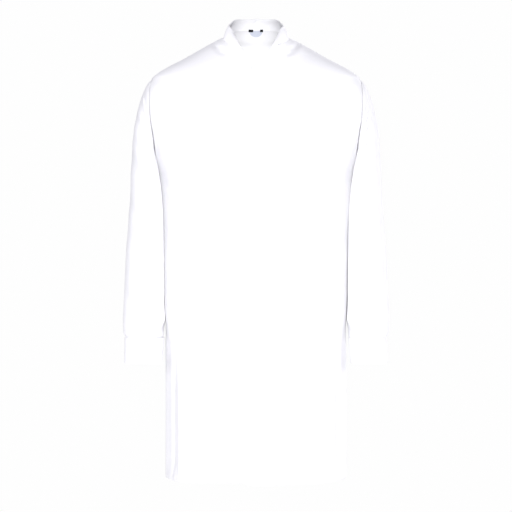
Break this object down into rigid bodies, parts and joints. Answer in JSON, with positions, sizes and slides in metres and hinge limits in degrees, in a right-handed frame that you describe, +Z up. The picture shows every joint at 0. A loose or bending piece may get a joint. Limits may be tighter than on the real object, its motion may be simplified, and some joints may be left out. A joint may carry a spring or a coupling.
{
  "type": "tunic",
  "caption": "Long cotton tunic with a stand collar, an open neck, a concealed front fastening, long cuffed sleeves and side slits, standing out hollow as if worn.",
  "frame": {"origin": "centre of the neck's base, at the height of the neck seam's sides, where a wearer's shoulders or a hanger hold the tunic up", "axes": "+Z up, -Y the wearer's front, +X the wearer's left"},
  "size_m": [0.609, 0.284, 1.0581],
  "materials": {
    "white_poplin": "plain woven cotton, matte",
    "grey_label": "woven satin, slightly glossy",
    "black_tape": "woven tape, matte",
    "white_button": "polished, four holes"
  },
  "bodies": {
    "root": {"front_left": "white_poplin", "front_right": "white_poplin", "band_left": "white_poplin", "band_right": "white_poplin", "back": "white_poplin", "yoke": "white_poplin", "collar": "white_poplin", "sleeve_left": "white_poplin", "sleeve_right": "white_poplin", "sleeve_band_left": "white_poplin", "sleeve_band_right": "white_poplin", "cuff_left": "white_poplin", "cuff_right": "white_poplin", "label": "grey_label", "label_tape_left": "black_tape", "label_tape_right": "black_tape", "cuff_button_left": "white_button", "cuff_button_right": "white_button"}
  },
  "joints": []
}
